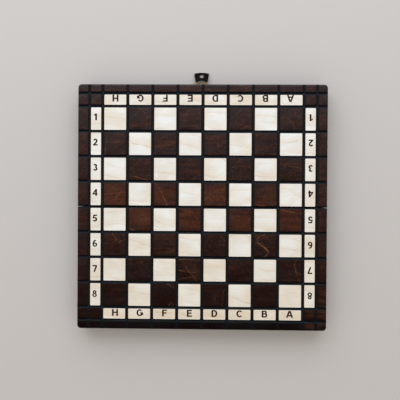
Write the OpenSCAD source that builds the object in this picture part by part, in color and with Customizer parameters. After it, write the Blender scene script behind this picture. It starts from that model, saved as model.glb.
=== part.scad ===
// Folding chess set: a board of two hinged box halves with the chessmen packed in trays under it.
// Millimetres, +Z up. The board lies open on a table at z = 0 with its playing side up, X runs along the
// letters, +Y points to the clasp, and the origin is the middle of the footprint.

/* [Board] */
// Distance between the centres of two neighbouring squares
square_pitch = 31.4; // [29:0.1:36]
// Width of the band of squares that carries the numbers
number_band = 16.65; // [14:0.05:20]
// Width of the band of squares that carries the letters
letter_band = 16.2; // [14:0.05:20]
// Plain border outside the numbers on the left
left_border = 14.6; // [12:0.1:18]
// Plain border outside the numbers on the right
right_border = 13.1; // [12:0.1:18]
// Plain border outside the letters
end_border = 11.4; // [10:0.1:16]
// Width of a burned groove at the playing face
groove_w = 3.2; // [1.6:0.1:3.6]
// Depth of a burned groove
groove_d = 1.4; // [0.6:0.05:1.8]
// Thickness of the playing panel
panel_t = 4; // [3:0.1:6]
// Radius of the board's four outer corners in plan
corner_r = 4.5; // [2:0.1:8]
// Radius of the corners beside the fold in plan
fold_corner_r = 1.2; // [0.6:0.1:3]
// Radius of the panel's rounded top edge
edge_r = 2; // [1:0.1:2.8]

/* [Case] */
// Thickness of the rails round each half
rail_t = 10; // [8.5:0.5:12]
// Gap between the two halves at the fold
fold_gap = 0.6; // [0.5:0.1:1.2]
// Number of fingers in a corner joint, an odd number
finger_n = 5; // [3:2:7]
// Depth from the rim to the fattest man
man_cover = 0.2; // [0.1:0.1:3]
// Distance from a felt foot's centre to the outer faces of the case
foot_inset = 5; // [4:0.1:6]
// Radius of a felt foot
foot_r = 3.5; // [2.5:0.1:4]
// Gap left between the feet of the two halves when the case is closed
close_gap = 0.3; // [0.3:0.05:0.8]

/* [Trays] */
// Play between a tray and the rails round it
tray_play = 0.3; // [0.3:0.05:0.8]
// Tray left between a pocket and the panel
tray_floor = 1; // [0.8:0.1:3]
// Thickness of the moulded tray
tray_t = 16; // [13:0.5:18]
// Gap between a man and its pocket
pocket_gap = 0.4; // [0.3:0.05:0.8]

/* [Hinges] */
// Distance between the centres of the two hinges
hinge_spread = 180; // [120:1:230]
// Length of a hinge along the fold
hinge_l = 25; // [18:0.5:40]
// Reach of a leaf from the hinge pin
leaf_w = 8; // [6.5:0.1:8.4]
// Thickness of a leaf
leaf_t = 0.8; // [0.6:0.05:1]
// Outer radius of a hinge knuckle
knuckle_r = 1.3; // [1.2:0.05:1.8]
// Radius of a hinge pin
hinge_pin_r = 0.7; // [0.5:0.05:0.8]
// Radial clearance of a pin in its knuckles
pin_fit = 0.05; // [0.02:0.01:0.1]
// Gap between neighbouring knuckles
knuckle_gap = 0.3; // [0.3:0.05:0.5]
// Gap between a knuckle and the wood round it
barrel_gap = 0.35; // [0.3:0.05:0.6]
// Number of knuckles in a hinge, an odd number
knuckle_n = 5; // [3:2:7]
// Shank radius of a hinge screw
screw_r = 0.9; // [0.7:0.05:1.1]
// Head radius of a hinge screw
screw_head_r = 1.7; // [1.5:0.05:2]
// Length of a hinge screw
screw_l = 7; // [5:0.5:10]

/* [Clasp] */
// Place of the clasp along the wall, from the middle of the board
clasp_x = -1.8; // [-20:0.1:20]
// Height of the clasp's pin over the rim
clasp_up = 7; // [6:0.1:9]
// Distance of the clasp's pin from the wall
clasp_out = 2.2; // [2.2:0.05:2.6]
// Outer radius of a clasp knuckle
clasp_knuckle_r = 1.4; // [1.2:0.05:1.4]
// Radius of the clasp's pin
clasp_pin_r = 0.7; // [0.5:0.05:0.8]
// Length of the lever from its pin to its tip
lever_l = 19.4; // [18:0.1:22]
// Thickness of the lever
lever_t = 1.2; // [0.8:0.05:1.4]
// Width of the lever at its pin
lever_pin_w = 14.1; // [13:0.1:18]
// Width of the lever at its tip
lever_tip_w = 19.2; // [15:0.1:22]
// Rise of the curved tip edge
lever_bow = 1.4; // [0.6:0.1:2.5]
// Radius of the hole in the lever
lever_hole_r = 2.9; // [2.5:0.05:3.2]
// Distance from the pin to the hole
lever_hole_at = 14.2; // [13.5:0.1:15]
// Width of the window between the lever's legs
window_w = 8.3; // [7:0.1:9.5]
// Distance from the pin to the end of the window
window_l = 7.5; // [4.5:0.1:9]
// Thickness of the brass plates on the walls
plate_t = 0.5; // [0.3:0.05:0.5]
// Height of the clasp's plate over its pin
plate_up = 9; // [7:0.1:12]
// Width of the stud's plate
stud_plate_w = 10; // [8.5:0.1:14]
// Radial clearance of the stud in the lever's hole
stud_fit = 0.35; // [0.3:0.05:0.6]
// Reach of the stud past the lever
stud_past = 2.1; // [1:0.1:3]
// Shank radius of a plate nail
nail_r = 0.5; // [0.4:0.05:0.7]
// Head radius of a plate nail
nail_head_r = 1.1; // [0.9:0.05:1.3]
// Length of a plate nail
nail_l = 6; // [4:0.5:8]

/* [Chessmen] */
// Height of a king
king_h = 65; // [56:0.5:70]
// Base radius of a king
king_r = 11; // [10:0.1:12]
// Height of a queen
queen_h = 58; // [50:0.5:62]
// Base radius of a queen
queen_r = 10.75; // [9.5:0.05:12]
// Height of a bishop
bishop_h = 50; // [44:0.5:56]
// Base radius of a bishop
bishop_r = 10; // [9:0.1:11]
// Height of a knight
knight_h = 47; // [43:0.5:50]
// Base radius of a knight
knight_r = 10.25; // [9.5:0.05:11]
// Height of a rook
rook_h = 41; // [37:0.5:46]
// Base radius of a rook
rook_r = 10; // [9:0.1:11]
// Height of a pawn
pawn_h = 36; // [32:0.5:40]
// Base radius of a pawn
pawn_r = 9; // [8:0.1:10]

/* [Hidden] */
$fn = 72;

// Overshoot of a cut past the face it opens
cut = 1;

// Plan of the board
board_w = 8 * square_pitch + 2 * number_band + left_border + right_border;
half_l = 4 * square_pitch + letter_band + end_border;
half_start = fold_gap / 2;
half_end = half_start + half_l;

// Lines of grooves: the columns' middle lies off the board's middle by half the difference of the borders, and
// the first row's groove lies over the fold, shared by the two halves
field_x = (left_border - right_border) / 2;
column_x = concat(
    [-board_w / 2 + left_border],
    [for (i = [0 : 8]) field_x + (i - 4) * square_pitch],
    [board_w / 2 - right_border]
);
row_y = concat([0], [for (i = [1 : 4]) half_start + i * square_pitch], [half_end - end_border]);

// Heights, from the table up: the feet are as thick as the hinge knuckles hang below the rim
fattest_r = max(king_r, queen_r, bishop_r, knight_r, rook_r, pawn_r);
rim_z = knuckle_r;
rail_h = man_cover + 2 * fattest_r + 2 * pocket_gap + tray_floor;
panel_z = rim_z + rail_h;
top_z = panel_z + panel_t;
tray_z = panel_z - tray_t;

// Clasp: the lever's tip rests on the table, and the stud meets the lever's hole when the case is closed
clasp_z = rim_z + clasp_up;
rest_angle = asin((clasp_z - lever_t / 2) / lever_l);
lever_reach = clasp_out + lever_l * cos(rest_angle) + lever_t / 2 * sin(rest_angle);
rim_gap = (2 * rim_z + close_gap) * half_end / (half_end - foot_inset - foot_r);
stud_up = lever_hole_at - clasp_up - rim_gap;
stud_r = lever_hole_r - stud_fit;

// The origin is the middle of the footprint, which the lever makes longer at the far side and the stud at the near
stud_reach = clasp_out + lever_t / 2 + stud_past;
fold_y = (stud_reach - lever_reach) / 2;

// Trays and the places of the men in them
tray_w = board_w - 2 * rail_t - 2 * tray_play;
tray_start = half_start + rail_t + tray_play;
tray_end = half_end - rail_t - tray_play;
man_pitch = tray_w / 8;
officers = ["rook", "knight", "bishop", "queen", "king", "bishop", "knight", "rook"];
officer_names = ["rook_1", "knight_1", "bishop_1", "queen", "king", "bishop_2", "knight_2", "rook_2"];
tallest_h = max(king_h, queen_h, bishop_h, knight_h, rook_h);
tray_wall = (tray_end - tray_start - tallest_h - pawn_h - 4 * pocket_gap) / 3;

function man_h(kind) =
    kind == "king" ? king_h :
    kind == "queen" ? queen_h :
    kind == "bishop" ? bishop_h :
    kind == "knight" ? knight_h :
    kind == "rook" ? rook_h : pawn_h;
function man_r(kind) =
    kind == "king" ? king_r :
    kind == "queen" ? queen_r :
    kind == "bishop" ? bishop_r :
    kind == "knight" ? knight_r :
    kind == "rook" ? rook_r : pawn_r;
// Largest radius over the foot, as a share of the base radius
function upper_share(kind) = kind == "knight" ? 0.95 : kind == "rook" ? 0.76 : 0.68;
// Length of the foot, as a share of the base radius
foot_share = 0.72;
function man_x(i) = (i - 3.5) * man_pitch;
function man_z(kind) = panel_z - tray_floor - pocket_gap - man_r(kind);
officer_y = tray_end - tray_wall - pocket_gap;
pawn_y = tray_start + tray_wall + pocket_gap;

// Places of the screws and nails
screw_x = hinge_l / 2 - 1.6 * screw_head_r;
screw_y = (leaf_w + knuckle_r + barrel_gap) / 2;
clasp_nail_x = lever_pin_w / 2 - 1.6 * nail_head_r;
clasp_nail_z = clasp_z + plate_up - 1.8 * nail_head_r;
stud_nail_x = stud_plate_w / 2 - 1.4 * nail_head_r;
stud_plate_h = 2 * (stud_up - 0.8);

// One half of the case is drawn with the fold along y = 0 and then set in its place
module far() {
    translate([0, fold_y, 0]) children();
}

module near() {
    translate([0, fold_y, 0]) mirror([0, 1, 0]) children();
}

// Case halves

// Corner block that leaves a quarter round of radius r when it is cut from a square corner
module corner_cut(x, y, r, turn) {
    translate([x, y]) rotate(turn) difference() {
        translate([-cut, -cut]) square(r + cut);
        translate([r, r]) circle(r);
    }
}

// Outline of one half in plan
module half_outline() {
    difference() {
        translate([-board_w / 2, half_start]) square([board_w, half_l]);
        corner_cut(-board_w / 2, half_start, fold_corner_r, 0);
        corner_cut(board_w / 2, half_start, fold_corner_r, 90);
        corner_cut(board_w / 2, half_end, corner_r, 180);
        corner_cut(-board_w / 2, half_end, corner_r, 270);
    }
}

// A slab end seen from the side: square below, with rounded top corners on the sides that are asked for
module rounded_end(x0, x1, z0, z1, r, left) {
    difference() {
        translate([x0, z0]) square([x1 - x0, z1 - z0]);
        corner_cut(x1, z1, r, 180);
        if (left) corner_cut(x0, z1, r, 270);
    }
}

// Groove cross-section, with its mouth at the playing face
module groove_profile() {
    slope = groove_w / 2 / groove_d;
    polygon([[0, -groove_d], [slope * (groove_d + cut), cut], [-slope * (groove_d + cut), cut]]);
}

// Plywood panel with the burned grid on its face
module panel() {
    difference() {
        intersection() {
            translate([0, 0, panel_z]) linear_extrude(panel_t) half_outline();
            translate([0, half_end + cut, 0]) rotate([90, 0, 0]) linear_extrude(half_l + 2 * cut)
                rounded_end(-board_w / 2, board_w / 2, panel_z, top_z, edge_r, true);
            translate([-board_w / 2 - cut, 0, 0]) rotate([90, 0, 90]) linear_extrude(board_w + 2 * cut)
                rounded_end(half_start, half_end, panel_z, top_z, edge_r, false);
        }
        for (x = column_x)
            translate([x, half_end + cut, top_z]) rotate([90, 0, 0])
                linear_extrude(half_l + 2 * cut) groove_profile();
        for (y = row_y)
            translate([-board_w / 2 - cut, y, top_z]) rotate([90, 0, 90])
                linear_extrude(board_w + 2 * cut) groove_profile();
    }
}

// Block between two heights of the rails, shared by every rail and trimmed to the half's outline
module rail_block(x0, x1, y0, y1, z0, z1) {
    intersection() {
        translate([x0, y0, z0]) cube([x1 - x0, y1 - y0, z1 - z0]);
        translate([0, 0, rim_z]) linear_extrude(rail_h) half_outline();
    }
}

function finger_z(k) = rim_z + k * rail_h / finger_n;

// Rail across the half, with the even fingers of the corner joints at both ends
module cross_rail(y0, y1) {
    rail_block(rail_t - board_w / 2, board_w / 2 - rail_t, y0, y1, rim_z, panel_z);
    for (k = [0 : 2 : finger_n - 1])
        rail_block(-board_w / 2, board_w / 2, y0, y1, finger_z(k), finger_z(k + 1));
}

// Rail along the side of the half, with the odd fingers
module side_rail(x0, x1) {
    rail_block(x0, x1, half_start + rail_t, half_end - rail_t, rim_z, panel_z);
    for (k = [1 : 2 : finger_n - 2])
        rail_block(x0, x1, half_start, half_end, finger_z(k), finger_z(k + 1));
}

module front_rail() {
    cross_rail(half_end - rail_t, half_end);
}

module hinge_rail() {
    difference() {
        cross_rail(half_start, half_start + rail_t);
        for (x = [-hinge_spread / 2, hinge_spread / 2]) {
            translate([x - hinge_l / 2 - knuckle_gap, 0, rim_z]) rotate([0, 90, 0])
                cylinder(r = knuckle_r + barrel_gap, h = hinge_l + 2 * knuckle_gap);
            translate([x - hinge_l / 2 - pin_fit, 0, rim_z - cut])
                cube([hinge_l + 2 * pin_fit, leaf_w + pin_fit, cut + leaf_t]);
            for (s = [-screw_x, screw_x])
                translate([x + s, screw_y, rim_z]) cylinder(r = screw_r + pin_fit, h = screw_l + pin_fit);
        }
    }
}

// Two felt feet under the outer corners of a half
module feet() {
    for (s = [-1, 1])
        translate([s * (board_w / 2 - foot_inset), half_end - foot_inset, 0]) cylinder(r = foot_r, h = rim_z);
}

// Hinges

// One leaf with its knuckles, counted from first in steps of two
module hinge_leaf(x, first) {
    knuckle_l = (hinge_l - (knuckle_n - 1) * knuckle_gap) / knuckle_n;
    translate([x, 0, rim_z]) difference() {
        union() {
            translate([-hinge_l / 2, knuckle_r + barrel_gap, 0])
                cube([hinge_l, leaf_w - knuckle_r - barrel_gap, leaf_t]);
            for (k = [first : 2 : knuckle_n - 1])
                translate([-hinge_l / 2 + k * (knuckle_l + knuckle_gap), 0, 0]) {
                    rotate([0, 90, 0]) cylinder(r = knuckle_r, h = knuckle_l);
                    cube([knuckle_l, knuckle_r + barrel_gap + cut, leaf_t]);
                }
        }
        translate([-hinge_l / 2 - cut, 0, 0]) rotate([0, 90, 0])
            cylinder(r = hinge_pin_r + pin_fit, h = hinge_l + 2 * cut);
        for (s = [-screw_x, screw_x])
            translate([s, screw_y, 0]) {
                translate([0, 0, -cut]) cylinder(r = screw_r + pin_fit, h = leaf_t + 2 * cut);
                cylinder(r1 = screw_head_r + pin_fit, r2 = screw_r + pin_fit, h = leaf_t);
            }
    }
}

module hinge_pin(x) {
    translate([x - hinge_l / 2, 0, rim_z]) rotate([0, 90, 0]) cylinder(r = hinge_pin_r, h = hinge_l);
}

// Countersunk slotted screw, driven up into the rail
module screw() {
    difference() {
        union() {
            cylinder(r1 = screw_head_r, r2 = screw_r, h = leaf_t);
            cylinder(r = screw_r, h = screw_l - screw_r);
            translate([0, 0, screw_l - screw_r]) cylinder(r1 = screw_r, r2 = screw_r / 4, h = screw_r);
        }
        translate([-screw_head_r - cut, -screw_r / 4, -cut])
            cube([2 * (screw_head_r + cut), screw_r / 2, cut + leaf_t / 2]);
    }
}

module hinge_screws() {
    for (x = [-hinge_spread / 2, hinge_spread / 2], s = [-screw_x, screw_x])
        translate([x + s, screw_y, rim_z]) screw();
}

// Clasp

// Lever seen from above with its pin at the origin, its tip towards +Y
module lever_outline() {
    bow_r = (pow(lever_tip_w / 2, 2) + pow(lever_bow, 2)) / (2 * lever_bow);
    difference() {
        intersection() {
            polygon([
                [-lever_pin_w / 2, 0], [lever_pin_w / 2, 0],
                [lever_tip_w / 2, lever_l], [-lever_tip_w / 2, lever_l]
            ]);
            translate([0, lever_l - bow_r]) circle(bow_r);
        }
        translate([-window_w / 2, -cut]) square([window_w, window_l + cut]);
        translate([0, lever_hole_at]) circle(lever_hole_r);
    }
}

module lever() {
    leg_w = (lever_pin_w - window_w) / 2;
    translate([clasp_x, half_end + clasp_out, clasp_z]) rotate([-rest_angle, 0, 0]) difference() {
        union() {
            translate([0, 0, -lever_t / 2]) linear_extrude(lever_t) lever_outline();
            for (x = [-lever_pin_w / 2, window_w / 2])
                translate([x, 0, 0]) rotate([0, 90, 0]) cylinder(r = clasp_knuckle_r, h = leg_w);
        }
        translate([-lever_pin_w / 2 - cut, 0, 0]) rotate([0, 90, 0])
            cylinder(r = clasp_pin_r + pin_fit, h = lever_pin_w + 2 * cut);
    }
}

module clasp_pin() {
    translate([clasp_x - lever_pin_w / 2, half_end + clasp_out, clasp_z]) rotate([0, 90, 0])
        cylinder(r = clasp_pin_r, h = lever_pin_w);
}

// Plate on the wall, rolled at its foot into the knuckle between the lever's legs
module clasp_plate() {
    roll_w = window_w - 2 * knuckle_gap;
    translate([clasp_x, 0, 0]) difference() {
        union() {
            translate([-lever_pin_w / 2, half_end, clasp_z])
                cube([lever_pin_w, plate_t, plate_up]);
            translate([-roll_w / 2, half_end, clasp_z - clasp_knuckle_r])
                cube([roll_w, plate_t, clasp_knuckle_r]);
            translate([-roll_w / 2, half_end, clasp_z + clasp_knuckle_r - plate_t])
                cube([roll_w, clasp_out, plate_t]);
            translate([-roll_w / 2, half_end + clasp_out, clasp_z]) rotate([0, 90, 0])
                cylinder(r = clasp_knuckle_r, h = roll_w);
        }
        translate([-roll_w / 2 - cut, half_end + clasp_out, clasp_z]) rotate([0, 90, 0])
            cylinder(r = clasp_pin_r + pin_fit, h = roll_w + 2 * cut);
        for (s = [-clasp_nail_x, clasp_nail_x]) nail_hole(s, clasp_nail_z);
    }
}

// Button stud on its plate, on the outer wall of the near half; the button's back ends inside the plate
module stud_plate() {
    shank_r = stud_r * 0.76;
    translate([clasp_x, 0, rim_z + stud_up]) {
        difference() {
            translate([-stud_plate_w / 2, half_end, -stud_plate_h / 2]) cube([stud_plate_w, plate_t, stud_plate_h]);
            for (s = [-stud_nail_x, stud_nail_x]) nail_hole(s, 0);
        }
        translate([0, half_end + plate_t / 2, 0]) rotate([-90, 0, 0]) cylinder(r = shank_r, h = clasp_out);
        intersection() {
            translate([0, half_end + stud_reach - stud_r, 0]) sphere(r = stud_r);
            translate([-stud_r - cut, half_end + plate_t / 2, -stud_r - cut])
                cube([2 * (stud_r + cut), stud_reach, 2 * (stud_r + cut)]);
        }
    }
}

module nail_hole(x, z) {
    translate([x, half_end - cut, z]) rotate([-90, 0, 0]) cylinder(r = nail_r + pin_fit, h = plate_t + 2 * cut);
}

// Hole in the wall for the shank of a nail
module nail_bore(x, z) {
    translate([x, half_end + cut, z]) rotate([90, 0, 0]) cylinder(r = nail_r + pin_fit, h = nail_l + cut);
}

// Round-headed nail through a plate
module nail(x, z) {
    translate([x, half_end + plate_t, z]) rotate([90, 0, 0]) cylinder(r = nail_r, h = nail_l);
    translate([x, half_end + plate_t, z]) intersection() {
        rotate([-90, 0, 0]) cylinder(r = nail_head_r, h = nail_head_r / 2);
        translate([0, -nail_head_r, 0]) sphere(r = nail_head_r * 1.5);
    }
}

// Chessmen, standing on z = 0

// Disc with a half-round rim, as a profile to be turned
module bead_profile(r, z, t) {
    translate([0, z]) square([r - t / 2, t]);
    translate([r - t / 2, z + t / 2]) circle(t / 2);
}

// Turned foot: plinth, round bead and fillet
module foot_profile(r) {
    square([r, 0.18 * r]);
    bead_profile(0.92 * r, 0.18 * r, 0.26 * r);
    translate([0, 0.44 * r]) square([0.74 * r, 0.14 * r]);
}

// Hollow-sided stem between two radii, hollowed by an arc that sinks in between its ends
module stem_profile(r0, z0, r1, z1, sink) {
    chord = sqrt(pow(r0 - r1, 2) + pow(z1 - z0, 2));
    arc_r = (pow(chord / 2, 2) + pow(sink, 2)) / (2 * sink);
    out = [(z1 - z0) / chord, (r0 - r1) / chord];
    difference() {
        polygon([[0, z0], [r0, z0], [r1, z1], [0, z1]]);
        translate([(r0 + r1) / 2 + out[0] * (arc_r - sink), (z0 + z1) / 2 + out[1] * (arc_r - sink)])
            circle(arc_r);
    }
}

// Round head on the turning axis
module ball_profile(r, z) {
    intersection() {
        translate([0, z]) circle(r);
        translate([0, z - r - cut]) square([r + cut, 2 * (r + cut)]);
    }
}

// Foot, stem and double collar that most of the men share; the collar's top is at z1
module column_profile(r, z1, neck) {
    foot_profile(r);
    stem_profile(0.68 * r, 0.58 * r, neck * r, z1 - 0.3 * r, 0.07 * (z1 - 0.88 * r));
    bead_profile((neck + 0.16) * r, z1 - 0.46 * r, 0.14 * r);
    bead_profile((neck + 0.3) * r, z1 - 0.32 * r, 0.18 * r);
    translate([0, z1 - 0.14 * r]) square([(neck + 0.08) * r, 0.14 * r]);
}

module pawn() {
    r = pawn_r;
    head_r = 0.56 * r;
    rotate_extrude() {
        column_profile(r, pawn_h - 1.82 * head_r, 0.34);
        ball_profile(head_r, pawn_h - head_r);
    }
}

module rook() {
    r = rook_r;
    tower_z = rook_h - 1.15 * r;
    difference() {
        rotate_extrude() difference() {
            union() {
                foot_profile(r);
                stem_profile(0.7 * r, 0.58 * r, 0.48 * r, tower_z, 0.06 * tower_z);
                bead_profile(0.66 * r, tower_z - 0.16 * r, 0.16 * r);
                stem_profile(0.5 * r, tower_z, 0.7 * r, tower_z + 0.5 * r, 0.08 * r);
                translate([0, tower_z + 0.5 * r]) square([0.74 * r, 0.65 * r]);
            }
            translate([0, rook_h - 0.42 * r]) square([0.48 * r, r]);
        }
        for (a = [0 : 60 : 120])
            translate([0, 0, rook_h - 0.3 * r]) rotate(a) translate([-r, -0.1 * r, 0]) cube([2 * r, 0.2 * r, r]);
    }
}

module bishop() {
    r = bishop_r;
    finial_r = 0.15 * r;
    mitre_z = bishop_h - 2.05 * r;
    mitre_r = 1.55 * r;
    difference() {
        rotate_extrude() {
            column_profile(r, mitre_z + 0.12 * r, 0.34);
            intersection() {
                translate([0.5 * r - mitre_r, mitre_z + 0.72 * r]) circle(mitre_r);
                translate([0, mitre_z]) square([r, 1.86 * r]);
            }
            ball_profile(finial_r, bishop_h - finial_r);
        }
        translate([0.12 * r, -r, mitre_z + 1.05 * r]) rotate([0, 32, 0]) translate([0, 0, -0.05 * r])
            cube([r, 2 * r, 0.1 * r]);
    }
}

// Flared head of a king or queen, from its neck at z0 up to its rim at z1
module crown_profile(r, z0, z1) {
    stem_profile(0.4 * r, z0, 0.64 * r, z1, 0.1 * r);
    translate([0, z1]) square([0.66 * r, 0.1 * r]);
}

module queen() {
    r = queen_r;
    finial_r = 0.17 * r;
    crown_z = queen_h - 0.58 * r;
    neck_z = crown_z - 1.2 * r;
    notch = 0.24 * r;
    difference() {
        rotate_extrude() {
            difference() {
                union() {
                    column_profile(r, neck_z, 0.36);
                    crown_profile(r, neck_z, crown_z);
                }
                translate([0, crown_z - 0.16 * r]) square([0.52 * r, r]);
            }
            intersection() {
                translate([0, crown_z - 0.2 * r]) circle(0.46 * r);
                translate([0, crown_z - 0.2 * r]) square(r);
            }
        }
        for (a = [0 : 45 : 315])
            rotate(a) translate([0.84 * r, 0, crown_z + 0.14 * r]) rotate([45, 0, 0])
                cube([0.7 * r, notch, notch], center = true);
    }
    translate([0, 0, queen_h - finial_r]) sphere(r = finial_r);
}

module king() {
    r = king_r;
    cross_h = 0.82 * r;
    crown_z = king_h - cross_h - 0.36 * r;
    rotate_extrude() {
        column_profile(r, crown_z - 1.25 * r, 0.38);
        crown_profile(r, crown_z - 1.25 * r, crown_z);
        intersection() {
            translate([0, crown_z - 0.4 * r]) circle(0.72 * r);
            translate([0, crown_z]) square([0.6 * r, r]);
        }
        bead_profile(0.2 * r, crown_z + 0.26 * r, 0.12 * r);
    }
    translate([0, 0.11 * r, king_h - cross_h]) rotate([90, 0, 0]) linear_extrude(0.22 * r) cross_outline(cross_h);
}

// Cross whose arms widen towards their ends
module cross_outline(h) {
    arm = 0.36 * h;
    for (a = [0 : 90 : 270])
        translate([0, h - arm * 1.3]) rotate(a)
            polygon([[-0.1 * h, 0], [0.1 * h, 0], [0.19 * h, arm * 1.3], [-0.19 * h, arm * 1.3]]);
    translate([-0.1 * h, -0.1 * h]) square([0.2 * h, 0.7 * h]);
}

// Horse's head from the side, for base radius r, facing +X with the neck's foot at 1.3 r
module horse_side(r) {
    mane_r = 1.67 * r;
    mane_y = 2.9 * r;
    difference() {
        polygon(r * [
            [-0.62, 1.3], [0.56, 1.3], [0.76, 1.8], [0.7, 2.3], [0.4, 2.74], [0.52, 2.88], [0.8, 2.7],
            [0.94, 2.82], [0.9, 3.12], [0.55, 3.68], [0.44, 4.02], [0.36, 4.2], [0.26, 4.58],
            [0.02, 4.26], [-0.28, 4.26], [-0.94, 3.5], [-0.94, 2]
        ]);
        difference() {
            translate([-1.2 * r, mane_y]) square([r, 2 * r]);
            translate([mane_r - 0.92 * r, mane_y]) circle(mane_r);
        }
        for (k = [0 : 4])
            translate([mane_r - 0.92 * r, mane_y]) rotate(187 - 13 * k)
                translate([mane_r - 0.2 * r, 0]) square([0.5 * r, 0.08 * r]);
        translate([-1.3 * r, 1.5 * r]) circle(0.62 * r);
        translate([1.1 * r, 2.25 * r]) circle(0.42 * r);
    }
}

// Horse's head from the front: narrow at the ears, which a notch parts
module horse_front(r) {
    difference() {
        polygon(r * [
            [-0.5, 1.2], [0.5, 1.2], [0.52, 2.6], [0.4, 3.5], [0.3, 4.7], [-0.3, 4.7], [-0.4, 3.5], [-0.52, 2.6]
        ]);
        polygon(r * [[0, 4.15], [0.12, 4.8], [-0.12, 4.8]]);
    }
}

// Horse's head from above: a slim muzzle and a thin mane
module horse_top(r) {
    polygon(r * [
        [-1, -0.2], [-0.45, -0.5], [0.3, -0.5], [0.95, -0.26], [0.95, 0.26], [0.3, 0.5], [-0.45, 0.5], [-1, 0.2]
    ]);
}

module knight() {
    r = knight_r;
    lift = knight_h - 4.58 * r;
    rotate_extrude() {
        foot_profile(r);
        stem_profile(0.72 * r, 0.58 * r, 0.6 * r, 1.2 * r + lift, 0.08 * r);
        bead_profile(0.74 * r, 1.14 * r + lift, 0.2 * r);
    }
    translate([0, 0, lift]) difference() {
        intersection() {
            translate([0, 0.6 * r, 0]) rotate([90, 0, 0]) linear_extrude(1.2 * r) horse_side(r);
            translate([-1.2 * r, 0, 0]) rotate([90, 0, 90]) linear_extrude(2.4 * r) horse_front(r);
            linear_extrude(5 * r) horse_top(r);
        }
        for (s = [-1, 1]) {
            translate([0.36 * r, s * 0.44 * r, 3.48 * r]) sphere(r = 0.1 * r);
            translate([0.82 * r, s * 0.34 * r, 2.98 * r]) sphere(r = 0.08 * r);
        }
        translate([0.62 * r, -0.6 * r, 2.94 * r]) rotate([0, 14, 0]) cube([0.5 * r, 1.2 * r, 0.05 * r]);
    }
}

module man(kind) {
    if (kind == "king") king();
    if (kind == "queen") queen();
    if (kind == "bishop") bishop();
    if (kind == "knight") knight();
    if (kind == "rook") rook();
    if (kind == "pawn") pawn();
}

// The officers lie with their feet to the outer wall, and the pawns with theirs to the fold
module officer(i) {
    translate([man_x(i), officer_y, man_z(officers[i])]) rotate([90, 0, 0]) man(officers[i]);
}

module pawn_at(i) {
    translate([man_x(i), pawn_y, man_z("pawn")]) rotate([-90, 0, 0]) man("pawn");
}

// Straight-sided groove with a round bottom, open towards the rim, between y0 and y1
module trough(x, z, r, y0, y1) {
    translate([x, y1, z]) rotate([90, 0, 0]) linear_extrude(y1 - y0) {
        circle(r);
        translate([-r, tray_z - cut - z]) square([2 * r, z - tray_z + cut]);
    }
}

// Pocket for one man whose foot is at y and whose head points along the sign of way
module pocket(kind, x, y, way) {
    r = man_r(kind) + pocket_gap;
    upper_r = man_r(kind) * upper_share(kind) + pocket_gap;
    foot = y - way * pocket_gap;
    shoulder = y + way * (foot_share * man_r(kind) + pocket_gap);
    head = y + way * (man_h(kind) + pocket_gap);
    trough(x, man_z(kind), r, min(foot, shoulder), max(foot, shoulder));
    trough(x, man_z(kind), upper_r, min(foot, head), max(foot, head));
}

module tray() {
    difference() {
        translate([-tray_w / 2, tray_start, tray_z]) cube([tray_w, tray_end - tray_start, tray_t]);
        for (i = [0 : 7]) {
            pocket(officers[i], man_x(i), officer_y, -1);
            pocket("pawn", man_x(i), pawn_y, 1);
        }
    }
}

// Case and trays in place
color("burlywood") far() panel();  // far_panel
color("burlywood") near() panel();  // near_panel
color("saddlebrown") far() difference() {  // far_front_rail
    front_rail();
    for (s = [-clasp_nail_x, clasp_nail_x]) nail_bore(clasp_x + s, clasp_nail_z);
}
color("saddlebrown") near() difference() {  // near_front_rail
    front_rail();
    for (s = [-stud_nail_x, stud_nail_x]) nail_bore(clasp_x + s, rim_z + stud_up);
}
color("saddlebrown") far() hinge_rail();  // far_hinge_rail
color("saddlebrown") near() hinge_rail();  // near_hinge_rail
color("sienna") far() side_rail(-board_w / 2, rail_t - board_w / 2);  // far_left_rail
color("sienna") near() side_rail(-board_w / 2, rail_t - board_w / 2);  // near_left_rail
color("sienna") far() side_rail(board_w / 2 - rail_t, board_w / 2);  // far_right_rail
color("sienna") near() side_rail(board_w / 2 - rail_t, board_w / 2);  // near_right_rail
color("darkgreen") far() tray();  // far_tray
color("darkgreen") near() tray();  // near_tray
color("dimgray") far() feet();  // far_feet
color("dimgray") near() feet();  // near_feet

// Hinges in place
color("goldenrod") far() hinge_leaf(-hinge_spread / 2, 0);  // left_hinge_far_leaf
color("goldenrod") far() hinge_leaf(hinge_spread / 2, 0);  // right_hinge_far_leaf
color("goldenrod") near() hinge_leaf(-hinge_spread / 2, 1);  // left_hinge_near_leaf
color("goldenrod") near() hinge_leaf(hinge_spread / 2, 1);  // right_hinge_near_leaf
color("silver") far() hinge_pin(-hinge_spread / 2);  // left_hinge_pin
color("silver") far() hinge_pin(hinge_spread / 2);  // right_hinge_pin
color("gold") far() hinge_screws();  // far_hinge_screws
color("gold") near() hinge_screws();  // near_hinge_screws

// Clasp in place
color("darkgoldenrod") far() clasp_plate();
color("darkgoldenrod") far() lever();  // clasp_lever
color("silver") far() clasp_pin();
color("gold") far()  // clasp_nails
    for (s = [-clasp_nail_x, clasp_nail_x]) nail(clasp_x + s, clasp_nail_z);
color("darkgoldenrod") near() stud_plate();  // clasp_stud
color("gold") near()  // stud_nails
    for (s = [-stud_nail_x, stud_nail_x]) nail(clasp_x + s, rim_z + stud_up);

// Chessmen in place: the white men lie in the near half and the black men in the far half
for (i = [0 : 7]) {
    color("wheat") near() officer(i);
    color("maroon") far() officer(i);
    color("wheat") near() pawn_at(i);
    color("maroon") far() pawn_at(i);
}
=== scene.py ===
import math

import bmesh
import bpy
from mathutils import Matrix, Vector, geometry


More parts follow.
